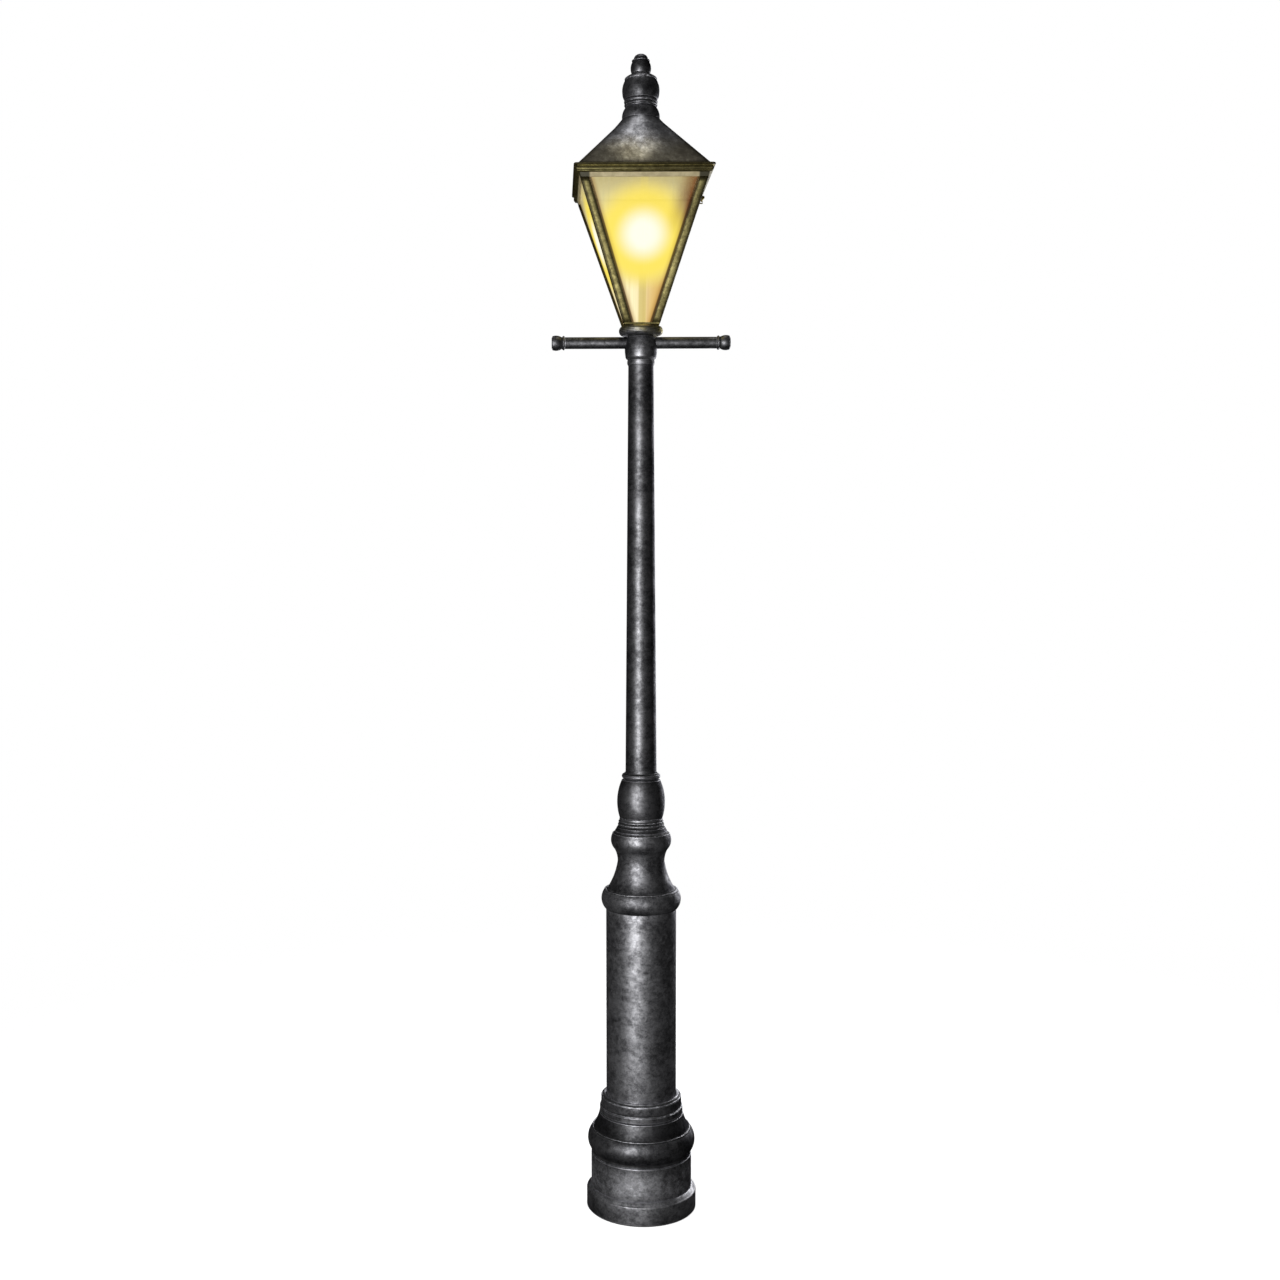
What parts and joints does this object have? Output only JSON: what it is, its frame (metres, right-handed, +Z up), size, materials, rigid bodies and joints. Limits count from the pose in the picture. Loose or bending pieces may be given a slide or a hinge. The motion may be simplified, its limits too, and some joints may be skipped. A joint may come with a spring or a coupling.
{
  "type": "street lamp post",
  "caption": "Cast street lamp post with a stepped round base, tapered shaft, ladder bars and a lit, square tapered lantern under a hinged canopy.",
  "frame": {"origin": "on the ground, at the centre of the base's underside", "axes": "+Z up the post; the lantern front faces -Y and the service door +Y; the ladder bars lie along X"},
  "size_m": [0.614, 0.466, 4],
  "materials": {
    "painted_iron": "painted black-grey cast iron, weathered",
    "lantern_metal": "dark bronze paint, aged",
    "steel": "dull galvanised",
    "pane_glass": "amber-tinted, lit from inside",
    "bulb_glass": "opal, lit",
    "enamel": "white stove enamel",
    "porcelain": "glazed",
    "black_plastic": "moulded",
    "plywood": "plain"
  },
  "bodies": {
    "post": {"plinth_ring": "painted_iron", "base_drum": "painted_iron", "base_moulding": "painted_iron", "base_collar": "painted_iron", "pedestal_casing": "painted_iron", "shoulder_casting": "painted_iron", "neck_collar": "painted_iron", "barrel_casting": "painted_iron", "barrel_ring": "painted_iron", "shaft_tube": "painted_iron", "head_casting": "painted_iron", "ladder_bar_right": "painted_iron", "ladder_bar_left": "painted_iron", "ladder_knob_right": "painted_iron", "ladder_knob_left": "painted_iron", "door_hinge_block_lower": "painted_iron", "door_hinge_block_upper": "painted_iron", "lantern_base_plate": "lantern_metal", "corner_bar_rear_right": "lantern_metal", "corner_bar_rear_left": "lantern_metal", "corner_bar_front_left": "lantern_metal", "corner_bar_front_right": "lantern_metal", "top_frame": "lantern_metal", "lamp_stem": "lantern_metal", "hinge_frame_leaf": "lantern_metal", "flange_plate": "steel", "head_set_screw_1": "steel", "head_set_screw_2": "steel", "head_set_screw_3": "steel", "lamp_cap": "steel", "hinge_pin": "steel", "backboard_strap_lower": "steel", "backboard_strap_upper": "steel", "earth_stud": "steel", "glass_pane_front": "pane_glass", "glass_pane_right": "pane_glass", "glass_pane_rear": "pane_glass", "glass_pane_left": "pane_glass", "lamp_bulb": "bulb_glass", "lampholder": "porcelain", "cutout_base": "black_plastic", "backboard": "plywood"},
    "canopy": {"canopy_rim": "lantern_metal", "canopy_roof": "lantern_metal", "reflector": "enamel", "vent_neck": "painted_iron", "vent_ring": "painted_iron", "finial_urn": "painted_iron", "finial_cap": "painted_iron", "finial_ball": "painted_iron", "finial_rod": "steel", "finial_nut": "steel", "hinge_canopy_leaf": "lantern_metal", "bolt_eye": "lantern_metal"},
    "bolt": {"canopy_bolt": "steel"},
    "door": {"service_door": "painted_iron", "door_hinge_strap_lower": "painted_iron", "door_hinge_strap_upper": "painted_iron"},
    "lock": {"door_lock": "steel"},
    "fuse": {"fuse_carrier": "black_plastic"}
  },
  "joints": [
    {"name": "canopy_hinge", "type": "hinge", "parent": "post", "child": "canopy", "pos_m": [0, 0.225, 3.543], "axis": [-1, 0, 0], "range_deg": [0, 75]},
    {"name": "bolt_slide", "type": "slide", "parent": "post", "child": "bolt", "axis": [0, 1, 0], "range_m": [0, 0.016]},
    {"name": "door_swing", "type": "hinge", "parent": "post", "child": "door", "pos_m": [0.07203, 0.10882, 0.68], "axis": [0, 0, -1], "range_deg": [0, 110]},
    {"name": "lock_turn", "type": "hinge", "parent": "door", "child": "lock", "pos_m": [-0.04308, 0.10663, 0.68], "axis": [-0.3746, 0.9272, 0], "range_deg": [0, 90]},
    {"name": "fuse_pull", "type": "slide", "parent": "post", "child": "fuse", "axis": [0, 1, 0], "range_m": [0, 0.03]}
  ]
}
